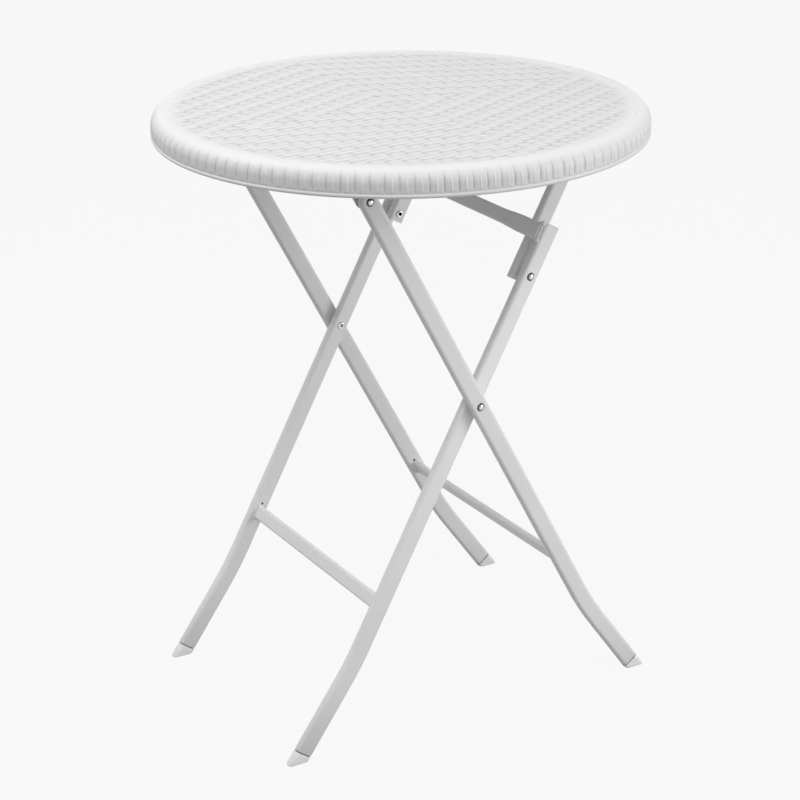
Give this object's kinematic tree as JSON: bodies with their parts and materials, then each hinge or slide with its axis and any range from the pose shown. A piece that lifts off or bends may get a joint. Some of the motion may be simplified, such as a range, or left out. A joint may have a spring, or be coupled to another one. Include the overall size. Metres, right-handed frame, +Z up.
{
  "type": "folding table",
  "caption": "Round folding bistro table: woven-look moulded plastic top on crossing tube frames whose links lock it open and let it fold flat.",
  "frame": {"origin": "on the floor, under the centre of the table top", "axes": "+X along the hinge axes, +Y the way the outer frame's feet spread, +Z up"},
  "size_m": [0.5999, 0.6, 0.749],
  "materials": {
    "moulded_top": "white blow-moulded plastic with a woven relief",
    "frame_coat": "white powder coat on steel tube",
    "foot_plastic": "white moulded plastic",
    "spacer_plastic": "pale nylon",
    "rivet_metal": "bright plated steel",
    "zinc_steel": "zinc plated pressed steel"
  },
  "bodies": {
    "top": {"table_top": "moulded_top", "outer_bracket_left": "zinc_steel", "outer_bracket_right": "zinc_steel", "link_bracket_left": "zinc_steel", "link_bracket_right": "zinc_steel", "bracket_screws": "zinc_steel"},
    "outer_frame": {"outer_leg_left": "frame_coat", "outer_leg_right": "frame_coat", "outer_foot_left": "foot_plastic", "outer_foot_right": "foot_plastic", "outer_pivot_rivet_left": "rivet_metal", "outer_pivot_rivet_right": "rivet_metal", "outer_pivot_washer_left": "spacer_plastic", "outer_pivot_washer_right": "spacer_plastic", "scissor_rivet_head_left": "rivet_metal", "scissor_rivet_head_right": "rivet_metal", "outer_lower_bar": "frame_coat"},
    "links": {"link_left": "frame_coat", "link_right": "frame_coat", "link_plug_left": "foot_plastic", "link_plug_right": "foot_plastic", "link_top_rivet_left": "rivet_metal", "link_top_rivet_right": "rivet_metal"},
    "inner_frame": {"inner_leg_left": "frame_coat", "inner_leg_right": "frame_coat", "inner_foot_left": "foot_plastic", "inner_foot_right": "foot_plastic", "inner_top_plug_left": "foot_plastic", "inner_top_plug_right": "foot_plastic", "scissor_spacer_left": "spacer_plastic", "scissor_spacer_right": "spacer_plastic", "scissor_rivet_tail_left": "rivet_metal", "scissor_rivet_tail_right": "rivet_metal", "link_pivot_rivet_left": "rivet_metal", "link_pivot_rivet_right": "rivet_metal", "link_spacer_left": "spacer_plastic", "link_spacer_right": "spacer_plastic", "inner_top_rail": "frame_coat", "inner_lower_bar": "frame_coat"}
  },
  "joints": [
    {"name": "top_fold", "type": "hinge", "parent": "top", "child": "outer_frame", "pos_m": [0, -0.149, 0.6955], "axis": [1, 0, 0], "range_deg": [0, 54.53]},
    {"name": "link_fold", "type": "hinge", "parent": "top", "child": "links", "pos_m": [0, 0.15, 0.6955], "axis": [-1, 0, 0], "range_deg": [0, 57.65]},
    {"name": "leg_fold", "type": "hinge", "parent": "links", "child": "inner_frame", "pos_m": [0, 0.07757, 0.56347], "axis": [1, 0, 0], "range_deg": [0, 165.54]}
  ],
  "couplings": [
    {"joint": "link_fold", "follows": "top_fold", "ratio": 1.0563},
    {"joint": "leg_fold", "follows": "top_fold", "ratio": 3.0348}
  ]
}
